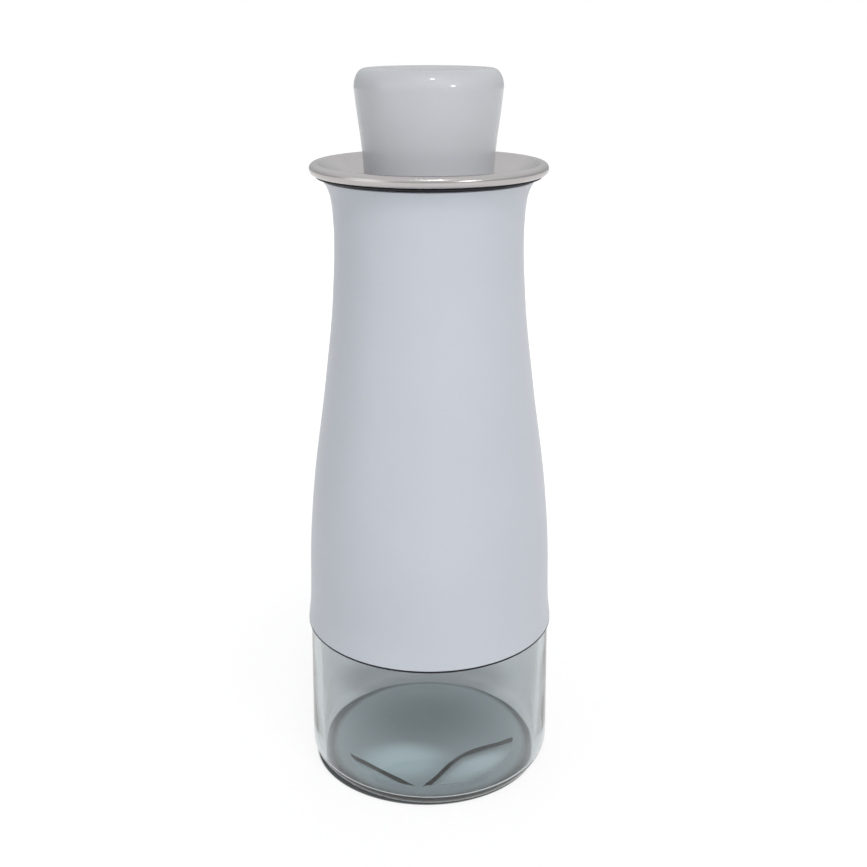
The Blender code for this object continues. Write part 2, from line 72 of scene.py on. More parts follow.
# Steps round the axis: 2.25 degrees each, so that the corners of the hollows and of the soft flats
# round the glass floor lie on whole steps.
FINE_STEPS = 160
# Spans of an arc, of a tall smooth face and of the small round at a corner.
ARC_SPANS = 8
BODY_SPANS = 48
ROUND_SPANS = 3
# Points closer than this are merged, and comparisons allow this much slack.
MERGE = 0.005 * MM
SHARP_ANGLE = math.radians(38)


def lowest(node):
    """Height of a CAD node's lowest point."""
    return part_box(node)[0].z


def highest(node):
    """Height of a CAD node's highest point."""
    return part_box(node)[1].z


def reach(node):
    """Outer radius of a turned CAD node."""
    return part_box(node)[1].x


# Outlines


def spread(low, high, spans):
    """Evenly spaced values from low to high, both ends included."""
    return [low + (high - low) * i / spans for i in range(spans + 1)]


def arc(centre_radius, centre_height, radius, start, end, spans=ARC_SPANS, stretch=1.0):
    """Points on an arc in the (radius, height) plane; angles in degrees from straight out."""
    return [
        (
            centre_radius + radius * math.cos(math.radians(angle)),
            centre_height + radius * stretch * math.sin(math.radians(angle)),
        )
        for angle in spread(start, end, spans)
    ]


class SmoothCurve:
    """A smooth radius along the height, through (height, radius) knots that it never overshoots."""

    def __init__(self, knots):
        self.knots = knots
        pairs = list(zip(knots, knots[1:]))
        slopes = [(high[1] - low[1]) / (high[0] - low[0]) for low, high in pairs]
        inner = [
            0 if before * after <= 0 else 2 * before * after / (before + after)
            for before, after in zip(slopes, slopes[1:])
        ]
        self.tangents = [slopes[0], *inner, slopes[-1]]

    def at(self, height):
        """The radius at a height."""
        index = sum(height >= knot[0] for knot in self.knots[1:-1])
        low, high = self.knots[index], self.knots[index + 1]
        rise = high[0] - low[0]
        t = (height - low[0]) / rise
        return (
            (2 * t**3 - 3 * t**2 + 1) * low[1]
            + (t**3 - 2 * t**2 + t) * rise * self.tangents[index]
            + (3 * t**2 - 2 * t**3) * high[1]
            + (t**3 - t**2) * rise * self.tangents[index + 1]
        )


def shared_curve(low, high, inner, outer, shares):
    """Knots from shares: of the height from low to high, and of the radius from inner to outer."""
    return [(low + up * (high - low), inner + out * (outer - inner)) for up, out in shares]


# Meshes


def finish_mesh(name, shape, material):
    """Turns a bmesh into a smooth-shaded object at the origin."""
    bmesh.ops.remove_doubles(shape, verts=shape.verts, dist=MERGE)
    bmesh.ops.recalc_face_normals(shape, faces=shape.faces)
    # A spin adds its faces in an order that changes from run to run, so they are put in one order.
    shape.verts.index_update()
    count = len(shape.verts)
    shape.faces.sort(key=lambda face: face.verts[0].index * count + face.verts[2].index)
    mesh = bpy.data.meshes.new(name)
    shape.to_mesh(mesh)
    shape.free()
    mesh.shade_smooth()
    mesh.set_sharp_from_angle(angle=SHARP_ANGLE)
    mesh.materials.append(material)
    piece = bpy.data.objects.new(name, mesh)
    bpy.context.scene.collection.objects.link(piece)
    return piece


def spun_shape(outline, closed):
    """A bmesh of an outline of (radius, height) points, spun once round the axis."""
    shape = bmesh.new()
    verts = [shape.verts.new((radius, 0.0, height)) for radius, height in outline]
    ends = verts[1:] + verts[:1] if closed else verts[1:]
    edges = [shape.edges.new(pair) for pair in zip(verts, ends)]
    bmesh.ops.spin(
        shape,
        geom=verts + edges,
        cent=(0, 0, 0),
        axis=(0, 0, 1),
        angle=math.tau,
        steps=FINE_STEPS,
        use_merge=True,
    )
    return shape


def turned(name, outline, material, closed=False):
    """An object turned from an outline of (radius, height) points."""
    return finish_mesh(name, spun_shape(outline, closed), material)


def rounded_section(points, radius):
    """A closed (radius, height) section with each corner rounded off at the given size."""
    shape = bmesh.new()
    verts = [shape.verts.new((x, 0.0, z)) for x, z in points]
    edges = [shape.edges.new(pair) for pair in zip(verts, verts[1:] + verts[:1])]
    bmesh.ops.bevel(
        shape,
        geom=verts + edges,
        offset=radius,
        segments=ROUND_SPANS,
        profile=0.5,
        affect="VERTICES",
        material=-1,
    )
    first = shape.verts[:][0]
    ordered = [first]
    edge = first.link_edges[0]
    vert = edge.other_vert(first)
    while vert is not first:
        ordered.append(vert)
        edge = next(other for other in vert.link_edges if other is not edge)
        vert = edge.other_vert(vert)
    result = [(v.co.x, v.co.z) for v in ordered]
    shape.free()
    return result


def sheet_section(face, gauge, side=1):
    """A closed section of a sheet, from its face's outline; side 1 adds the gauge left of it."""
    points = [Vector(point) for point in face]
    before = [points[0] * 2 - points[1], *points[:-1]]
    after = [*points[1:], points[-1] * 2 - points[-2]]
    back = []
    for last, point, following in zip(before, points, after):
        into, out = (point - last).normalized(), (following - point).normalized()
        middle = (into + out).normalized()
        inward = Vector((-middle.y, middle.x)) * side
        back.append(point + inward * gauge / middle.dot(into))
    return [tuple(point) for point in (*points, *reversed(back))]


def place(piece, body, slot, *nodes):
    """Lets a piece ride on a body in place of CAD nodes; the slot argument is not used."""
    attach(piece, body)
    if nodes:
        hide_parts(*nodes)


# Materials

# Sizes of their patterns. The steel's rings and the moulded grains are finer on the real things,
# and are drawn as coarse as they need to be to show.
GLASS_WAVES = 22 * MM
ENAMEL_CLOUDS = 35 * MM
ENAMEL_PEEL = 1.6 * MM
STEEL_RINGS = 0.5 * MM
STEEL_SMEARS = 9 * MM
KNOB_GRAIN = 3 * MM
PLASTIC_GRAIN = 1.2 * MM
RUBBER_GRAIN = 0.8 * MM


def linear(text):
    """A linear colour, with its alpha, from an sRGB hex value such as #c0c4cc."""
    values = [int(text[i : i + 2], 16) / 255 for i in (1, 3, 5)]
    return (*(v / 12.92 if v <= 0.04045 else ((v + 0.055) / 1.055) ** 2.4 for v in values), 1.0)


def add_node(tree, kind, settings=None, values=None, links=None):
    """Adds a node with its settings, its input values and the links into it."""
    node = tree.nodes.new(kind)
    for name, value in (settings or {}).items():
        setattr(node, name, value)
    for socket, value in (values or {}).items():
        node.inputs[socket].default_value = value
    for socket, source in (links or {}).items():
        tree.links.new(source, node.inputs[socket])
    return node


def new_material(name, values):
    """A material with the given Principled BSDF values; returns it with its tree and shader."""
    material = bpy.data.materials.get(name) or bpy.data.materials.new(name)
    material.use_nodes = True
    tree = material.node_tree
    tree.nodes.clear()
    shader = add_node(tree, "ShaderNodeBsdfPrincipled", values=values)
    add_node(tree, "ShaderNodeOutputMaterial", links={"Surface": shader.outputs[0]})
    return material, tree, shader


def per_length(size):
    """Scale of a noise texture whose features are about this size."""
    return 1 / size


def ring_scale(spacing):
    """Scale of a wave texture with rings this far apart: the node fits twenty radians in a unit."""
    return math.tau / (20 * spacing)


def glass_material(settings):
    """Soda-lime glass, blown into a mould: slow waves, and grey-green where it is thick."""
    material, tree, shader = new_material(
        "soda_lime_glass",
        {
            "Base Color": linear(settings.tint),
            "Roughness": 0.0,
            "IOR": 1.52,
            "Transmission Weight": 1.0,
        },
    )
    coords = add_node(tree, "ShaderNodeTexCoord")
    waves = add_node(
        tree,
        "ShaderNodeTexNoise",
        values={"Scale": per_length(GLASS_WAVES), "Detail": 1.0, "Roughness": 0.4},
        links={"Vector": coords.outputs["Object"]},
    )
    bump = add_node(
        tree,
        "ShaderNodeBump",
        values={"Strength": 0.25, "Distance": 0.4 * MM},
        links={"Height": waves.outputs[0]},
    )
    tree.links.new(bump.outputs[0], shader.inputs["Normal"])
    absorption = add_node(
        tree,
        "ShaderNodeVolumeAbsorption",
        values={"Color": linear(settings.depth_tint), "Density": settings.depth_of_tint},
    )
    output = next(node for node in tree.nodes if node.type == "OUTPUT_MATERIAL")
    tree.links.new(absorption.outputs[0], output.inputs["Volume"])
    return material


def enamel_material(settings):
    """Sprayed white enamel on steel: satin, cool, a little uneven, with a faint orange peel."""
    material, tree, shader = new_material(
        "sprayed_white_enamel",
        {
            "Roughness": 0.42,
            "IOR": 1.5,
            "Coat Weight": 0.2,
            "Coat Roughness": 0.25,
        },
    )
    coords = add_node(tree, "ShaderNodeTexCoord")
    clouds = add_node(
        tree,
        "ShaderNodeTexNoise",
        values={"Scale": per_length(ENAMEL_CLOUDS), "Detail": 2.0},
        links={"Vector": coords.outputs["Object"]},
    )
    tones = add_node(
        tree,
        "ShaderNodeMix",
        settings={"data_type": "RGBA"},
        values={"A": linear(settings.colour), "B": linear(settings.shade)},
        links={"Factor": clouds.outputs[0]},
    )
    tree.links.new(tones.outputs["Result"], shader.inputs["Base Color"])
    peel = add_node(
        tree,
        "ShaderNodeTexNoise",
        values={"Scale": per_length(ENAMEL_PEEL), "Detail": 1.0},
        links={"Vector": coords.outputs["Object"]},
    )
    bump = add_node(
        tree,
        "ShaderNodeBump",
        values={"Strength": 0.12, "Distance": 0.05 * MM},
        links={"Height": peel.outputs[0]},
    )
    tree.links.new(bump.outputs[0], shader.inputs["Normal"])
    return material


def steel_material(settings):
    """Stainless steel sheet, spun and polished: bright, a little warm, with fine turned rings."""
    material, tree, shader = new_material(
        "spun_stainless_steel",
        {"Base Color": linear(settings.colour), "Metallic": 1.0, "Anisotropic": 0.7},
    )
    coords = add_node(tree, "ShaderNodeTexCoord")
    rings = add_node(
        tree,
        "ShaderNodeTexWave",
        settings={"wave_type": "RINGS", "rings_direction": "Z"},
        values={"Scale": ring_scale(STEEL_RINGS), "Distortion": 3.0, "Detail": 2.0},
        links={"Vector": coords.outputs["Object"]},
    )
    smears = add_node(
        tree,
        "ShaderNodeTexNoise",
        values={"Scale": per_length(STEEL_SMEARS), "Detail": 3.0},
        links={"Vector": coords.outputs["Object"]},
    )
    gloss = add_node(
        tree,
        "ShaderNodeMapRange",
        values={"From Min": 0.3, "From Max": 0.7, "To Min": 0.18, "To Max": 0.3},
        links={"Value": smears.outputs[0]},
    )
    tree.links.new(gloss.outputs[0], shader.inputs["Roughness"])
    bump = add_node(
        tree,
        "ShaderNodeBump",
        values={"Strength": 0.2, "Distance": 0.02 * MM},
        links={"Height": rings.outputs[1]},
    )
    tree.links.new(bump.outputs[0], shader.inputs["Normal"])
    tangent = add_node(
        tree,
        "ShaderNodeTangent",
        settings={"direction_type": "RADIAL", "axis": "Z"},
    )
    tree.links.new(tangent.outputs[0], shader.inputs["Tangent"])
    return material


def moulded_material(name, colour, roughness, grain, extra):
    """Moulded plastic or silicone: one colour, and the mould's fine grain in gloss and surface."""
    material, tree, shader = new_material(name, {"Base Color": linear(colour), **extra})
    coords = add_node(tree, "ShaderNodeTexCoord")
    texture = add_node(
        tree,
        "ShaderNodeTexNoise",
        values={"Scale": per_length(grain), "Detail": 2.0},
        links={"Vector": coords.outputs["Object"]},
    )
    gloss = add_node(
        tree,
        "ShaderNodeMapRange",
        values={"To Min": roughness * 0.9, "To Max": roughness * 1.15},
        links={"Value": texture.outputs[0]},
    )
    tree.links.new(gloss.outputs[0], shader.inputs["Roughness"])
    bump = add_node(
        tree,
        "ShaderNodeBump",
        values={"Strength": 0.1, "Distance": 0.02 * MM},
        links={"Height": texture.outputs[0]},
    )
    tree.links.new(bump.outputs[0], shader.inputs["Normal"])
    return material


def knob_material(settings):
    """White ABS, injection moulded: soft in the light, with a gloss that shows the small lamps."""
    return moulded_material(
        "white_abs",
        settings.colour,
        roughness=0.42,
        grain=KNOB_GRAIN,
        extra={
            "IOR": 1.5,
            "Subsurface Weight": 0.08,
            "Subsurface Radius": (1.0, 1.0, 1.0),
            "Subsurface Scale": MM,
            "Coat Weight": 0.6,
            "Coat Roughness": 0.03,
        },
    )


def natural_plastic_material():
    """Natural polypropylene, moulded: waxy, milky and matt."""
    return moulded_material(
        "natural_polypropylene",
        "#cfd1cf",
        roughness=0.42,
        grain=PLASTIC_GRAIN,
        extra={"Transmission Weight": 0.1},
    )


def black_silicone_material():
    """Black silicone rubber, moulded: matt, and dark enough to draw a line under the rim."""
    return moulded_material(
        "black_silicone",
        "#121118",
        roughness=0.5,
        grain=RUBBER_GRAIN,
        extra={},
    )


def clear_silicone_material():
    """Translucent silicone rubber, moulded: milky and soft in its highlights."""
    return moulded_material(
        "clear_silicone",
        "#d2d3d1",
        roughness=0.45,
        grain=RUBBER_GRAIN,
        extra={"Transmission Weight": 0.2},
    )


# Sizes that a user can change


class FlaskSettings(bpy.types.PropertyGroup):
    """Sizes and tint of the glass."""

    wall: FloatProperty(
        name="Wall", description="Wall thickness", default=3.0 * MM, unit="LENGTH"
    )
    floor: FloatProperty(
        name="Floor", description="Glass at the edge of the floor", default=3.6 * MM, unit="LENGTH"
    )
    dome: FloatProperty(
        name="Dome", description="Rise of the floor's middle", default=1.0 * MM, unit="LENGTH"
    )
    heel: FloatProperty(
        name="Heel", description="Radius of the heel", default=6.5 * MM, unit="LENGTH"
    )
    fillet: FloatProperty(
        name="Fillet", description="Radius inside the foot", default=1.3 * MM, unit="LENGTH"
    )
    stand: FloatProperty(
        name="Stand", description="Width of the stand ring", default=2.8 * MM, unit="LENGTH"
    )
    push_up: FloatProperty(
        name="Push-up", description="Rise of the underside", default=1.2 * MM, unit="LENGTH"
    )
    margin: FloatProperty(
        name="Margin", description="From stand ring to hollows", default=1.6 * MM, unit="LENGTH"
    )
    rise: FloatProperty(
        name="Rise", description="Depth of the hollows", default=0.85 * MM, unit="LENGTH"
    )
    bows: FloatVectorProperty(
        name="Bows",
        description="How far each chord bows towards the middle",
        default=[0.0, 0.0, 4.6 * MM],
        size=3,
        unit="LENGTH",
    )
    run: FloatProperty(
        name="Run", description="From a chord to full depth", default=9.0 * MM, unit="LENGTH"
    )
    chords: FloatVectorProperty(
        name="Chords",
        description="Bearings from +X of the chords' corners: hollow, plain glass, hollow",
        default=[math.radians(bearing) for bearing in (-157.5, -99.0, -94.5, -4.5)],
        size=4,
        unit="ROTATION",
    )
    corners: FloatVectorProperty(
        name="Corners",
        description="Bearings from +X of the corners between the soft flats round the floor",
        default=[math.radians(bearing) for bearing in (0.0, 63.0, 121.5, 180.0)],
        size=4,
        unit="ROTATION",
    )
    finish: FloatProperty(
        name="Finish", description="Height of the neck finish", default=13.6 * MM, unit="LENGTH"
    )
    finish_radius: FloatProperty(
        name="Neck", description="Radius of the neck", default=22.6 * MM, unit="LENGTH"
    )
    shoulder: FloatProperty(
        name="Shoulder", description="Height of the shoulder", default=6.4 * MM, unit="LENGTH"
    )
    lip: FloatProperty(
        name="Lip", description="Round of the mouth", default=0.9 * MM, unit="LENGTH"
    )
    widening: FloatProperty(
        name="Foot", description="How far the foot widens", default=0.8 * MM, unit="LENGTH"
    )
    tint: StringProperty(name="Tint", description="Colour of a wall of glass", default="#dddfe1")
    depth_tint: StringProperty(
        name="Depth tint", description="Colour that thick glass lets through", default="#7c9ea2"
    )
    depth_of_tint: FloatProperty(name="Depth", description="Absorption per metre", default=50.0)


class SleeveSettings(bpy.types.PropertyGroup):
    """Sizes and colours of the painted sleeve, its bead and its gasket."""

    waist: FloatProperty(
        name="Waist", description="Radius of the waist", default=28.4 * MM, unit="LENGTH"
    )
    flare: FloatProperty(
        name="Flare", description="Height of the flare", default=17.3 * MM, unit="LENGTH"
    )
    gauge: FloatProperty(
        name="Gauge", description="Steel and paint", default=0.5 * MM, unit="LENGTH"
    )
    gap: FloatProperty(
        name="Gap", description="Gap between pieces", default=0.3 * MM, unit="LENGTH"
    )
    gasket: FloatProperty(
        name="Gasket", description="Thickness of the gasket", default=0.45 * MM, unit="LENGTH"
    )
    gasket_proud: FloatProperty(
        name="Proud", description="How far the gasket stands out", default=1.9 * MM, unit="LENGTH"
    )
    colour: StringProperty(name="Colour", description="Enamel", default="#cccfd7")
    shade: StringProperty(name="Shade", description="Enamel where it is thin", default="#c4c9d1")


class CollarSettings(bpy.types.PropertyGroup):
    """Sizes and colour of the steel collar."""

    gauge: FloatProperty(
        name="Gauge", description="Sheet thickness", default=0.6 * MM, unit="LENGTH"
    )
    curl: FloatProperty(
        name="Curl", description="Radius of the rolled rim", default=1.7 * MM, unit="LENGTH"
    )
    curl_turn: FloatProperty(
        name="Roll",
        description="How far the rim is rolled",
        default=math.radians(250),
        subtype="ANGLE",
    )
    depth: FloatProperty(
        name="Depth", description="Depth of the dish", default=9.6 * MM, unit="LENGTH"
    )
    floor: FloatProperty(
        name="Floor", description="Radius of the dish's floor", default=21.8 * MM, unit="LENGTH"
    )
    fillet: FloatProperty(
        name="Fillet", description="Fillet of the dish", default=3.0 * MM, unit="LENGTH"
    )
    throat: FloatProperty(
        name="Throat", description="Radius of the throat", default=17.0 * MM, unit="LENGTH"
    )
    edge_round: FloatProperty(
        name="Round", description="Round of the throat's edge", default=1.0 * MM, unit="LENGTH"
    )
    colour: StringProperty(name="Colour", description="Steel", default="#b8b4b3")


class StopperSettings(bpy.types.PropertyGroup):
    """Sizes and colour of the stopper."""

    wall: FloatProperty(
        name="Wall", description="Wall at the foot", default=2.3 * MM, unit="LENGTH"
    )
    flare: FloatProperty(
        name="Flare", description="Foot to top", default=2.6 * MM, unit="LENGTH"
    )
    round_width: FloatProperty(
        name="Round", description="Width of the top round", default=3.2 * MM, unit="LENGTH"
    )
    round_height: FloatProperty(
        name="Round height", description="Height of the top round", default=5.2 * MM, unit="LENGTH"
    )
    foot_round: FloatProperty(
        name="Foot round", description="Round of the foot", default=0.5 * MM, unit="LENGTH"
    )
    dish: FloatProperty(
        name="Dish", description="Dip of the top", default=0.5 * MM, unit="LENGTH"
    )
    ceiling: FloatProperty(
        name="Ceiling", description="Wall of the top", default=2.4 * MM, unit="LENGTH"
    )
    socket: FloatProperty(
        name="Socket", description="Depth of the plug's socket", default=8.0 * MM, unit="LENGTH"
    )
    step: FloatProperty(
        name="Step", description="Step above the socket", default=1.3 * MM, unit="LENGTH"
    )
    gap: FloatProperty(
        name="Gap", description="Gap between pieces", default=0.3 * MM, unit="LENGTH"
    )
    plug_wall: FloatProperty(
        name="Plug wall", description="Wall of the plug", default=1.5 * MM, unit="LENGTH"
    )
    groove: FloatProperty(
        name="Groove", description="Depth of a seal's groove", default=1.2 * MM, unit="LENGTH"
    )
    chamfer: FloatProperty(
        name="Chamfer", description="Chamfer of the plug", default=0.6 * MM, unit="LENGTH"
    )
    colour: StringProperty(name="Colour", description="Plastic", default="#c4c5ca")


class StageSettings(bpy.types.PropertyGroup):
    """The camera, as the photograph was taken, and the light."""

    distance: FloatProperty(
        name="Distance", description="From the axis", default=355.2 * MM, unit="LENGTH"
    )
    height: FloatProperty(
        name="Height", description="Above the table", default=239.1 * MM, unit="LENGTH"
    )
    pitch: FloatProperty(
        name="Pitch",
        description="How far it looks down",
        default=math.radians(19.54),
        subtype="ANGLE",
    )
    pan: FloatProperty(
        name="Pan",
        description="How far it looks right",
        default=math.radians(0.217),
        subtype="ANGLE",
    )
    lens: FloatProperty(name="Lens", description="Focal length in millimetres", default=49.34)
    ambient: FloatProperty(name="Ambient", description="Light of the room", default=0.49)
    gloss: FloatProperty(
        name="Gloss", description="The room as polished steel shows it", default=1.0
    )
    table: FloatProperty(
        name="Table", description="Grey of the table in the light of the room", default=0.78
    )
    shadow: FloatProperty(
        name="Shadow", description="How far the bottle's shadow shows on the white", default=0.2
    )
    white: StringProperty(
        name="White", description="The table as camera, gloss and glass see it", default="#fafafa"
    )
    horizon: FloatProperty(
        name="Horizon", description="Share of the light at the horizon", default=0.6
    )


# The glass

# Rings under the foot, as shares of the radius of its round edge. The underside is plain out to the
# first share and hollow out to the second.
PLAIN_SHARE = 0.42
SCOOP_SHARE = 0.98
# Share of the thin ring inside each chord, which keeps the edge of a hollow crisp.
CREASE = 0.005
RING_SHARES = (
    1.0,
    *spread(SCOOP_SHARE, PLAIN_SHARE, 10),
    *spread(PLAIN_SHARE - CREASE, 0.0, 6),
)
MARGIN_SPANS = 3


def foot_radius(flask, sleeve):
    """Outer radius of the glass foot."""
    return reach("steel_sleeve") - sleeve.gauge - sleeve.gap + flask.widening


def glass_outline(flask, sleeve):
    """The glass from the middle of its floor, up inside, over the mouth and down to the base."""
    curve = sleeve_curve(sleeve)
    fit = sleeve.gauge + sleeve.gap
    mouth = highest("glass_bottle")
    bore = flask.finish_radius - flask.wall
    shoulder = mouth - flask.finish - flask.shoulder
    rise = curve.at(shoulder) - fit - flask.finish_radius
    stretch = flask.shoulder / rise
    foot = foot_radius(flask, sleeve)
    inner_foot = foot - flask.wall - flask.fillet
    dome = [
        (radius, flask.floor + flask.dome * (1 - (radius / inner_foot) ** 2))
        for radius in spread(0.0, inner_foot, ARC_SPANS)
    ]
    heights = spread(lowest("steel_sleeve"), shoulder, BODY_SPANS)
    return (
        dome
        + arc(inner_foot, flask.floor + flask.fillet, flask.fillet, -90, 0)[1:]
        + [(curve.at(z) - fit - flask.wall, z) for z in heights]
        + arc(bore, shoulder, rise, 0, 90, stretch=stretch)[1:]
        + arc(bore + flask.lip, mouth - flask.lip, flask.lip, 180, 90)
        + arc(flask.finish_radius - flask.lip, mouth - flask.lip, flask.lip, 90, 0)
        + arc(flask.finish_radius, shoulder, rise, 90, 0, stretch=stretch)[:-1]
        + [(curve.at(z) - fit, z) for z in reversed(heights)]
        + arc(foot - flask.heel, flask.heel, flask.heel, 0, -90, spans=2 * ARC_SPANS)
    )


def flat_at(bearing, corners):
    """The flat at a bearing: its number, half its span and the turn from its middle, or None."""
    for number, (start, end) in enumerate(zip(corners, corners[1:])):
        half = (end - start) / 2
        turn = (bearing - start) % math.tau
        if MERGE < turn < 2 * half - MERGE:
            return number, half, turn - half
    return None


def at_bearing(radius, bearing, height):
    """The point at a radius, a bearing from +X and a height."""
    return Vector((radius * math.cos(bearing), radius * math.sin(bearing), height))


def underside_height(flask, radius, inner):
    """Height of the shallow push-up at a radius inside the stand ring."""
    return flask.push_up * (1 - (radius / inner) ** 2)


def shape_hollows(flask, verts, inner):
    """Moves the underside's rings: plain out to the chords, then two scoops out to a round edge."""
    edge = inner - flask.margin
    drum = (flask.run**2 + flask.rise**2) / (2 * flask.rise)
    for vert in verts:
        radius = vert.co.to_2d().length
        if radius < MERGE or radius > edge + MERGE:
            continue
        bearing = math.atan2(vert.co.y, vert.co.x)
        flat = flat_at(bearing, flask.chords)
        number, half, turn = flat or (0, 0.0, 0.0)
        bow = flask.bows[number]
        chord = edge * math.cos(half) / math.cos(turn)
        if flat:
            chord -= bow * (1 - (turn / half) ** 2)
        share = radius / edge
        if share <= PLAIN_SHARE:
            radius = chord * share / PLAIN_SHARE
        else:
            out = min(1.0, (share - PLAIN_SHARE) / (SCOOP_SHARE - PLAIN_SHARE))
            radius = chord + out * (edge - chord)
        height = underside_height(flask, radius, inner)
        if flat and PLAIN_SHARE < share <= SCOOP_SHARE + CREASE:
            start = underside_height(flask, edge * math.cos(half) - bow, inner)
            lean = math.tan(turn) * edge * math.cos(half) / math.cos(turn)
            lean += bow * 2 * turn / half**2
            skew = math.atan2(lean, chord)
            beyond = (radius - chord) * math.cos(skew) / max(MERGE, abs(math.sin(bearing - skew)))
            arch = math.sqrt(drum**2 - (beyond - flask.run) ** 2) - drum + flask.rise
            height = max(height, start + arch)
        vert.co = at_bearing(radius, bearing, height)


def shape_floor(flask, verts, inside):
    """Widens the fillet inside the back of the foot to soft flats between the corners."""
    fillet_edge = inside - flask.fillet
    low, high = flask.floor - MERGE, flask.floor + max(flask.fillet, flask.dome) + MERGE
    for vert in verts:
        radius = vert.co.to_2d().length
        height = vert.co.z
        bearing = math.atan2(vert.co.y, vert.co.x)
        flat = flat_at(bearing, flask.corners)
        if not flat or not low < height < high or radius > inside + MERGE:
            continue
        _, half, turn = flat
        edge = fillet_edge * math.cos(half) / math.cos(turn)
        share = (inside - edge) / flask.fillet
        if radius > fillet_edge:
            radius = inside - (inside - radius) * share
            height = flask.floor + (height - flask.floor) * math.sqrt(share)
        else:
            radius *= edge / fillet_edge
        vert.co = at_bearing(radius, bearing, height)


def make_flask(flask, sleeve):
    """Spins the glass and its underside, then shapes the hollows and the soft flats."""
    body = glass_outline(flask, sleeve)
    inner = body[-1][0] - flask.stand
    edge = inner - flask.margin
    radii = [*spread(inner, edge, MARGIN_SPANS)[:-1], *(edge * share for share in RING_SHARES)]
    underside = [(radius, underside_height(flask, radius, inner)) for radius in radii]
    shape = spun_shape(body + underside, closed=False)
    low = [vert for vert in shape.verts if vert.co.z < flask.push_up + MERGE]
    shape_hollows(flask, low, inner)
    shape_floor(flask, shape.verts, foot_radius(flask, sleeve) - flask.wall)
    piece = finish_mesh("glass_flask", shape, glass_material(flask))
    place(piece, "bottle", "clear_glass", "glass_bottle")


# The sleeve, its bead and the gasket

# Smooth outlines as pairs of (share of the height, share of the radius).
SLEEVE_BODY_SHARES = (
    (0.00, 1.00),
    (0.06, 0.93),
    (0.20, 0.88),
    (0.37, 0.735),
    (0.64, 0.336),
    (0.86, 0.07),
    (1.00, 0.00),
)
SLEEVE_FLARE_SHARES = ((0.00, 0.00), (0.45, 0.07), (0.72, 0.27), (0.87, 0.54), (1.00, 1.00))
BEAD_ROUND = 0.1 * MM
GASKET_ROUND = 0.15 * MM
GASKET_WIDTH = 3.3 * MM
# From the inner edge of the sleeve's lip in to where the gasket's top turns down.
GASKET_STEP = 0.35 * MM


def lip_height(sleeve):
    """Height of the outer edge of the sleeve's lip, with its gauge and then the gasket above."""
    return highest("collar_gasket") - sleeve.gasket - sleeve.gap - sleeve.gauge


def sleeve_curve(sleeve):
    """The sleeve's outer face; it bounds the glass inside it too."""
    lip = lip_height(sleeve)
    waist = lip - sleeve.flare
    foot, foot_reach = lowest("steel_sleeve"), reach("steel_sleeve")
    lip_reach = reach("collar_gasket") - sleeve.gasket_proud
    body = shared_curve(foot, waist, sleeve.waist, foot_reach, SLEEVE_BODY_SHARES)
    flare = shared_curve(waist, lip, sleeve.waist, lip_reach, SLEEVE_FLARE_SHARES)
    return SmoothCurve(body + flare[1:])


def make_sleeve(sleeve):
    """Turns the sleeve from its outer face and its gauge."""
    curve = sleeve_curve(sleeve)
    heights = spread(lowest("steel_sleeve"), lip_height(sleeve), 2 * BODY_SPANS)
    section = sheet_section([(curve.at(z), z) for z in heights], sleeve.gauge)
    piece = turned("painted_sleeve", section, enamel_material(sleeve), closed=True)
    place(piece, "bottle", "white_enamel", "steel_sleeve")


def make_bead(sleeve, rubber):
    """Turns the bead that fills the step between the sleeve's lower edge and the glass."""
    low, high = lowest("sleeve_seal_bead"), highest("sleeve_seal_bead")
    outer = reach("sleeve_seal_bead")
    inner = reach("steel_sleeve") - sleeve.gauge
    section = [(outer, high), (outer, (low + high) / 2), (inner, low), (inner, high)]
    piece = turned("sleeve_bead", rounded_section(section, BEAD_ROUND), rubber, closed=True)
    place(piece, "bottle", "black_silicone", "sleeve_seal_bead")


def make_gasket(sleeve, rubber):
    """Turns the gasket: a flat ring on the sleeve's lip, with a skirt down inside the lip."""
    foot, high = lowest("collar_gasket"), highest("collar_gasket")
    low = high - sleeve.gasket
    outer = reach("collar_gasket")
    inner = outer - GASKET_WIDTH
    lip = outer - sleeve.gasket_proud - sleeve.gauge - sleeve.gap
    section = [
        (outer, high),
        (outer, low),
        (lip, low),
        (inner, foot),
        (inner, foot + sleeve.gasket),
        (lip - GASKET_STEP, high),
    ]
    piece = turned("gasket_ring", rounded_section(section, GASKET_ROUND), rubber, closed=True)
    place(piece, "gasket", "black_silicone", "collar_gasket")


# The collar and the neck pieces


def dish_face(collar):
    """The collar's upper face: up the throat, over the dish and the cone, round the rolled rim."""
    top = highest("pour_collar")
    floor = top - collar.depth
    curl_centre = (reach("pour_collar") - collar.curl, top - collar.curl)
    out, up = curl_centre[0] - collar.floor, curl_centre[1] - floor
    slope = math.atan2(up, out) + math.asin(collar.curl / math.hypot(out, up))
    start = math.degrees(slope) + 90
    end = start - math.degrees(collar.curl_turn)
    fillet_start = collar.floor - collar.fillet * math.tan(slope / 2)
    throat_centre = (collar.throat + collar.edge_round, floor - collar.edge_round)
    return (
        [(collar.throat, lowest("pour_collar"))]
        + arc(*throat_centre, collar.edge_round, 180, 90)
        + arc(fillet_start, floor + collar.fillet, collar.fillet, -90, math.degrees(slope) - 90)
        + arc(*curl_centre, collar.curl, start, end, spans=3 * ARC_SPANS)
    )


def make_collar(collar):
    """Turns the steel dish from its upper face and its gauge."""
    section = sheet_section(dish_face(collar), collar.gauge, side=-1)
    piece = turned("steel_dish", section, steel_material(collar), closed=True)
    place(piece, "collar", "polished_steel", "pour_collar")


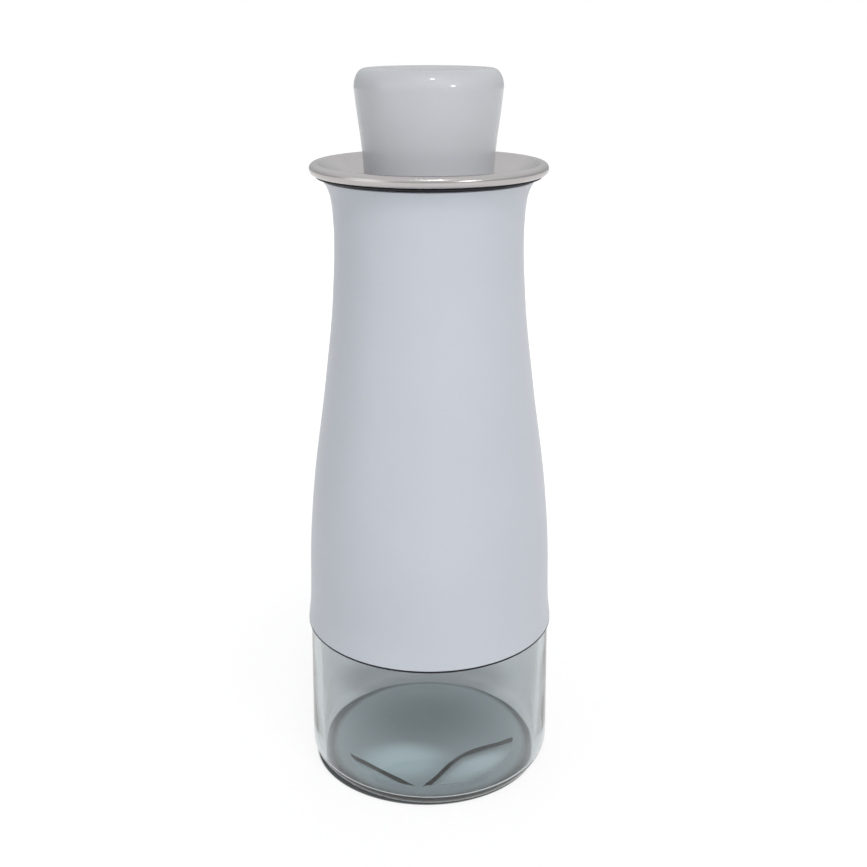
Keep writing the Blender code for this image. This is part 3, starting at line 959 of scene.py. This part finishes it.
def make_neck_pieces():
    """The hidden neck pieces keep their own solids and take their finish."""
    plastic = natural_plastic_material()
    finishes = {
        "neck_washer": clear_silicone_material(),
        "thread_ring": plastic,
        "pour_insert": plastic,
    }
    for node, material in finishes.items():
        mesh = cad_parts[node].data
        mesh.materials.clear()
        mesh.materials.append(material)


# The stopper

# The knob's side as pairs of (share of the height, share of the radius).
KNOB_SHARES = ((0.00, 0.00), (0.23, 0.08), (0.46, 0.28), (0.80, 0.77), (1.00, 1.00))
SEAL_NODES = ("stopper_seal_1", "stopper_seal_2")


def knob_outline(stopper):
    """The knob from the middle of its top, over the shoulder, down the side and up inside."""
    top, seat = highest("stopper_shell"), lowest("stopper_shell")
    bore = reach("stopper_plug") + stopper.gap
    foot = bore + stopper.wall
    widest = foot + stopper.flare
    face = widest - stopper.round_width
    base = top - stopper.round_height
    stretch = stopper.round_height / stopper.round_width
    foot_round = stopper.foot_round
    curve = SmoothCurve(shared_curve(seat, base, foot, widest, KNOB_SHARES))
    heights = spread(seat + foot_round, base, BODY_SPANS)[:-1]
    ceiling = top - stopper.dish - stopper.ceiling
    return (
        [
            (radius, top - stopper.dish * (1 + math.cos(math.pi * radius / face)) / 2)
            for radius in spread(0.0, face, 2 * ARC_SPANS)[:-1]
        ]
        + arc(face, base, stopper.round_width, 90, 0, spans=3 * ARC_SPANS, stretch=stretch)
        + [(curve.at(z), z) for z in reversed(heights)]
        + arc(foot - foot_round, seat + foot_round, foot_round, 0, -90)[1:]
        + [
            (bore, seat),
            (bore, seat + stopper.socket),
            (bore - stopper.step, seat + stopper.socket),
            (bore - stopper.step, ceiling),
            (0.0, ceiling),
        ]
    )


def make_knob(stopper):
    """Turns the hollow knob."""
    piece = turned("stopper_knob", knob_outline(stopper), knob_material(stopper))
    place(piece, "stopper", "white_plastic", "stopper_shell")


def groove_root(stopper):
    """Radius of the plug at the root of the seals' grooves."""
    return reach("stopper_plug") - stopper.groove


def make_plug(stopper):
    """Turns the plug: a cup with a groove for each seal."""
    radius, bottom, rim = reach("stopper_plug"), lowest("stopper_plug"), highest("stopper_plug")
    root = groove_root(stopper)
    inside = root - stopper.plug_wall
    grooves = []
    for node in SEAL_NODES:
        high, low = highest(node) + stopper.gap, lowest(node) - stopper.gap
        grooves += [(radius, high), (root, high), (root, low), (radius, low)]
    outline = [
        (0.0, bottom + stopper.plug_wall),
        (inside, bottom + stopper.plug_wall),
        (inside, rim),
        (radius - stopper.chamfer, rim),
        (radius, rim - stopper.chamfer),
        *grooves,
        (radius, bottom + stopper.chamfer),
        (radius - stopper.chamfer, bottom),
        (0.0, bottom),
    ]
    piece = turned("plug_cup", outline, natural_plastic_material())
    place(piece, "stopper", "natural_plastic", "stopper_plug")


def make_seals(stopper):
    """Turns the two sealing rings, each with a round crown."""
    rubber = clear_silicone_material()
    inner = groove_root(stopper) + stopper.gap
    for number, node in enumerate(SEAL_NODES, start=1):
        half = (highest(node) - lowest(node)) / 2
        middle = (highest(node) + lowest(node)) / 2
        crown = arc(reach(node) - half, middle, half, 90, -90)
        section = crown + [(inner, middle - half), (inner, middle + half)]
        piece = turned(f"seal_ring_{number}", section, rubber, closed=True)
        place(piece, "stopper", "clear_silicone", node)


# Stage

FLOOR_RADIUS = 3.0
FLOOR_STEPS = 64
# The floor lies this far under the foot, so that the two faces never fight.
FLOOR_DROP = 0.05 * MM
# Painted shadow of the bottle on the white table, with two painted pools of light where it is lit
# through the glass, from outside in, each layer over the last: centre and half sizes (mm), turn
# (degrees), shares of the sizes where it is full and where it ends, colour.
PAINTED_TABLE_LIGHT_AND_SHADE = (
    ((0.0, 0.0), (1.0, 1.0), 0.0, 60.0, 300.0, "#eeeeee"),
    ((-3.0, 40.0), (44.0, 22.0), 0.0, 0.55, 1.0, "#b2b4b6"),
    ((-0.9, -1.2), (37.9, 35.6), 0.0, 0.985, 1.005, "#1f2726"),
    ((0.0, 0.0), (1.0, 1.0), 0.0, 33.2, 34.2, "#7c8181"),
    ((0.0, 0.0), (1.0, 1.0), 0.0, 31.5, 33.8, "#adb9bb"),
    ((-1.0, 13.0), (34.0, 28.0), 0.0, 0.15, 1.15, "#68797b"),
    ((-9.0, -15.0), (17.0, 12.0), 0.0, 0.3, 1.1, "#dcf0f2"),
    ((16.0, -16.3), (16.0, 6.0), 40.0, 0.3, 1.1, "#dcecee"),
)
ROOM_COLOUR = (0.97, 0.99, 1.0, 1.0)
# The room has its full light where a direction of length 1 rises this far above the horizon.
BRIGHT_FROM = 0.6
# Name, place (m), width (m), power (W), colour, and the kinds of ray that don't see the lamp.
LAMPS = (
    ("key", (0.29, -0.82, 0.6), 0.6, 3.6, (1.0, 1.0, 1.0), ("visible_glossy",)),
    ("fill", (-0.8, -0.45, 0.3), 0.7, 1.0, (0.95, 0.98, 1.0), ()),
    (
        "back",
        (0.0, 1.05, 0.28),
        0.6,
        2.2,
        (1.0, 1.0, 1.0),
        ("visible_camera", "visible_glossy", "visible_transmission"),
    ),
    ("lamp_high", (0.056, -0.5, 0.75), 0.1, 0.42, (1.0, 1.0, 1.0), ("visible_transmission",)),
    ("lamp_right", (0.42, -0.56, 0.4), 0.1, 0.42, (1.0, 1.0, 1.0), ("visible_transmission",)),
)
SENSOR_WIDTH = 36.0


def floor_material(stage):
    """A pale table seen as white by camera, gloss and glass, with a painted shadow of the bottle,
    painted pools of light and a faint real shadow.
    """
    material = bpy.data.materials.new("pale_floor")
    material.use_nodes = True
    tree = material.node_tree
    tree.nodes.clear()
    path = add_node(tree, "ShaderNodeLightPath")
    seen = path.outputs["Is Camera Ray"]
    for kind in ("Is Glossy Ray", "Is Transmission Ray"):
        seen = add_node(
            tree,
            "ShaderNodeMath",
            settings={"operation": "MAXIMUM"},
            links={0: seen, 1: path.outputs[kind]},
        ).outputs[0]
    coords = add_node(tree, "ShaderNodeTexCoord")
    glow = add_node(
        tree,
        "ShaderNodeEmission",
        values={"Color": linear(stage.white), "Strength": 1.0},
    )
    # Each layer paints a patch of the bottle's shadow, or a pool of light, over the white glow.
    for centre, size, turn, full, end, colour in PAINTED_TABLE_LIGHT_AND_SHADE:
        spot = add_node(
            tree,
            "ShaderNodeMapping",
            settings={"vector_type": "TEXTURE"},
            values={
                "Location": (centre[0] * MM, centre[1] * MM, 0.0),
                "Rotation": (0.0, 0.0, math.radians(turn)),
                "Scale": (size[0] * MM, size[1] * MM, 1.0),
            },
            links={"Vector": coords.outputs["Object"]},
        )
        distance = add_node(
            tree,
            "ShaderNodeVectorMath",
            settings={"operation": "LENGTH"},
            links={0: spot.outputs[0]},
        )
        share = add_node(
            tree,
            "ShaderNodeMapRange",
            settings={"interpolation_type": "SMOOTHSTEP"},
            values={"From Min": full, "From Max": end},
            links={"Value": distance.outputs["Value"]},
        )
        painted_patch = add_node(
            tree,
            "ShaderNodeEmission",
            values={"Color": linear(colour), "Strength": 1.0},
        )
        glow = add_node(
            tree,
            "ShaderNodeMixShader",
            links={0: share.outputs[0], 1: painted_patch.outputs[0], 2: glow.outputs[0]},
        )
    grey = (stage.table, stage.table, stage.table, 1.0)
    faint = (stage.shadow, stage.shadow, stage.shadow, 1.0)
    diffuse = add_node(tree, "ShaderNodeBsdfDiffuse", values={"Color": grey})
    soft = add_node(tree, "ShaderNodeBsdfDiffuse", values={"Color": faint})
    bright = add_node(tree, "ShaderNodeAddShader", links={0: soft.outputs[0], 1: glow.outputs[0]})
    mixed = add_node(
        tree,
        "ShaderNodeMixShader",
        links={0: seen, 1: diffuse.outputs[0], 2: bright.outputs[0]},
    )
    add_node(tree, "ShaderNodeOutputMaterial", links={"Surface": mixed.outputs[0]})
    return material


def make_floor(stage):
    """Lays the round table under the bottle."""
    shape = bmesh.new()
    bmesh.ops.create_circle(shape, cap_ends=True, segments=FLOOR_STEPS, radius=FLOOR_RADIUS)
    floor = finish_mesh("floor", shape, floor_material(stage))
    floor.data.transform(Matrix.Translation((0, 0, -FLOOR_DROP)))


def make_world(stage):
    """A pale room, dimmer at its horizon; camera and glass see plain white beyond the table."""
    world = bpy.data.worlds.new("pale_room")
    bpy.context.scene.world = world
    world.use_nodes = True
    tree = world.node_tree
    tree.nodes.clear()
    path = add_node(tree, "ShaderNodeLightPath")
    seen = add_node(
        tree,
        "ShaderNodeMath",
        settings={"operation": "MAXIMUM"},
        links={0: path.outputs["Is Camera Ray"], 1: path.outputs["Is Transmission Ray"]},
    )
    coords = add_node(tree, "ShaderNodeTexCoord")
    direction = add_node(tree, "ShaderNodeSeparateXYZ", links={0: coords.outputs["Generated"]})
    rise = add_node(
        tree,
        "ShaderNodeMapRange",
        settings={"interpolation_type": "SMOOTHSTEP"},
        values={
            "From Min": 0.0,
            "From Max": BRIGHT_FROM,
            "To Min": stage.horizon,
            "To Max": 1.0,
        },
        links={"Value": direction.outputs["Z"]},
    )
    level = add_node(
        tree,
        "ShaderNodeMapRange",
        values={"To Min": stage.ambient, "To Max": stage.gloss},
        links={"Value": path.outputs["Is Glossy Ray"]},
    )
    strength = add_node(
        tree,
        "ShaderNodeMath",
        settings={"operation": "MULTIPLY"},
        links={0: rise.outputs[0], 1: level.outputs[0]},
    )
    ambient = add_node(
        tree,
        "ShaderNodeBackground",
        values={"Color": ROOM_COLOUR},
        links={"Strength": strength.outputs[0]},
    )
    white = add_node(
        tree,
        "ShaderNodeBackground",
        values={"Color": (1, 1, 1, 1), "Strength": 1.0},
    )
    mixed = add_node(
        tree,
        "ShaderNodeMixShader",
        links={0: seen.outputs[0], 1: ambient.outputs[0], 2: white.outputs[0]},
    )
    add_node(tree, "ShaderNodeOutputWorld", links={"Surface": mixed.outputs[0]})


def make_lamps():
    """Hangs the lamps, each aimed at the middle of the bottle."""
    middle = Vector((0, 0, CAD_BOX[1].z / 2))
    for name, place_at, width, power, colour, hidden in LAMPS:
        lamp = bpy.data.lights.new(name, "AREA")
        lamp.shape = "DISK"
        lamp.size = width
        lamp.energy = power
        lamp.color = colour
        holder = bpy.data.objects.new(name, lamp)
        holder.location = place_at
        aim = middle - Vector(place_at)
        holder.rotation_euler = aim.to_track_quat("-Z", "Y").to_euler()
        for flag in hidden:
            setattr(holder, flag, False)
        bpy.context.scene.collection.objects.link(holder)


def make_camera(stage):
    """Sets up the camera where the photograph was taken."""
    camera = bpy.data.cameras.new("camera")
    camera.lens = stage.lens
    camera.sensor_width = SENSOR_WIDTH
    holder = bpy.data.objects.new("camera", camera)
    holder.location = (0, -stage.distance, stage.height)
    holder.rotation_euler = Euler((math.pi / 2 - stage.pitch, 0, -stage.pan))
    bpy.context.scene.collection.objects.link(holder)
    bpy.context.scene.camera = holder


# Operators and panel


class OILBOTTLE_OT_flask(bpy.types.Operator):
    """Model the glass flask, with the shallow push-up and the two hollows under its foot"""

    bl_idname = "oilbottle.flask"
    bl_label = "Glass flask"

    def execute(self, context):
        make_flask(context.scene.oil_flask, context.scene.oil_sleeve)
        return {"FINISHED"}


class OILBOTTLE_OT_sleeve(bpy.types.Operator):
    """Model the painted steel sleeve"""

    bl_idname = "oilbottle.sleeve"
    bl_label = "Painted sleeve"

    def execute(self, context):
        make_sleeve(context.scene.oil_sleeve)
        return {"FINISHED"}


class OILBOTTLE_OT_rubber(bpy.types.Operator):
    """Model the gasket under the rim and the bead under the sleeve"""

    bl_idname = "oilbottle.rubber"
    bl_label = "Gasket and bead"

    def execute(self, context):
        rubber = black_silicone_material()
        make_bead(context.scene.oil_sleeve, rubber)
        make_gasket(context.scene.oil_sleeve, rubber)
        return {"FINISHED"}


class OILBOTTLE_OT_collar(bpy.types.Operator):
    """Model the steel pouring collar and finish the neck pieces under it"""

    bl_idname = "oilbottle.collar"
    bl_label = "Steel collar"

    def execute(self, context):
        make_collar(context.scene.oil_collar)
        make_neck_pieces()
        return {"FINISHED"}


class OILBOTTLE_OT_stopper(bpy.types.Operator):
    """Model the stopper: knob, plug and seals"""

    bl_idname = "oilbottle.stopper"
    bl_label = "Stopper"

    def execute(self, context):
        make_knob(context.scene.oil_stopper)
        make_plug(context.scene.oil_stopper)
        make_seals(context.scene.oil_stopper)
        return {"FINISHED"}


class OILBOTTLE_OT_stage(bpy.types.Operator):
    """Make the pale floor, the room light, the lamps and the camera"""

    bl_idname = "oilbottle.stage"
    bl_label = "Stage"

    def execute(self, context):
        make_floor(context.scene.oil_stage)
        make_world(context.scene.oil_stage)
        make_lamps()
        make_camera(context.scene.oil_stage)
        context.scene.view_settings.view_transform = "Standard"
        return {"FINISHED"}


class OILBOTTLE_PT_panel(bpy.types.Panel):
    """Lists the pieces of the bottle"""

    bl_idname = "OILBOTTLE_PT_panel"
    bl_label = "Oil Bottle"
    bl_space_type = "VIEW_3D"
    bl_region_type = "UI"
    bl_category = "Oil Bottle"

    def draw(self, context):
        for operator in OPERATORS:
            self.layout.operator(operator.bl_idname)


OPERATORS = (
    OILBOTTLE_OT_flask,
    OILBOTTLE_OT_sleeve,
    OILBOTTLE_OT_rubber,
    OILBOTTLE_OT_collar,
    OILBOTTLE_OT_stopper,
    OILBOTTLE_OT_stage,
)
SETTINGS = {
    "oil_flask": FlaskSettings,
    "oil_sleeve": SleeveSettings,
    "oil_collar": CollarSettings,
    "oil_stopper": StopperSettings,
    "oil_stage": StageSettings,
}
CLASSES = (*SETTINGS.values(), *OPERATORS, OILBOTTLE_PT_panel)


def register():
    for kind in CLASSES:
        bpy.utils.register_class(kind)
    for name, kind in SETTINGS.items():
        setattr(bpy.types.Scene, name, PointerProperty(type=kind))


def unregister():
    for name in SETTINGS:
        delattr(bpy.types.Scene, name)
    for kind in reversed(CLASSES):
        bpy.utils.unregister_class(kind)


def main():
    register()
    bpy.ops.oilbottle.flask()
    bpy.ops.oilbottle.sleeve()
    bpy.ops.oilbottle.rubber()
    bpy.ops.oilbottle.collar()
    bpy.ops.oilbottle.stopper()
    bpy.ops.oilbottle.stage()


if __name__ == "__main__":
    main()
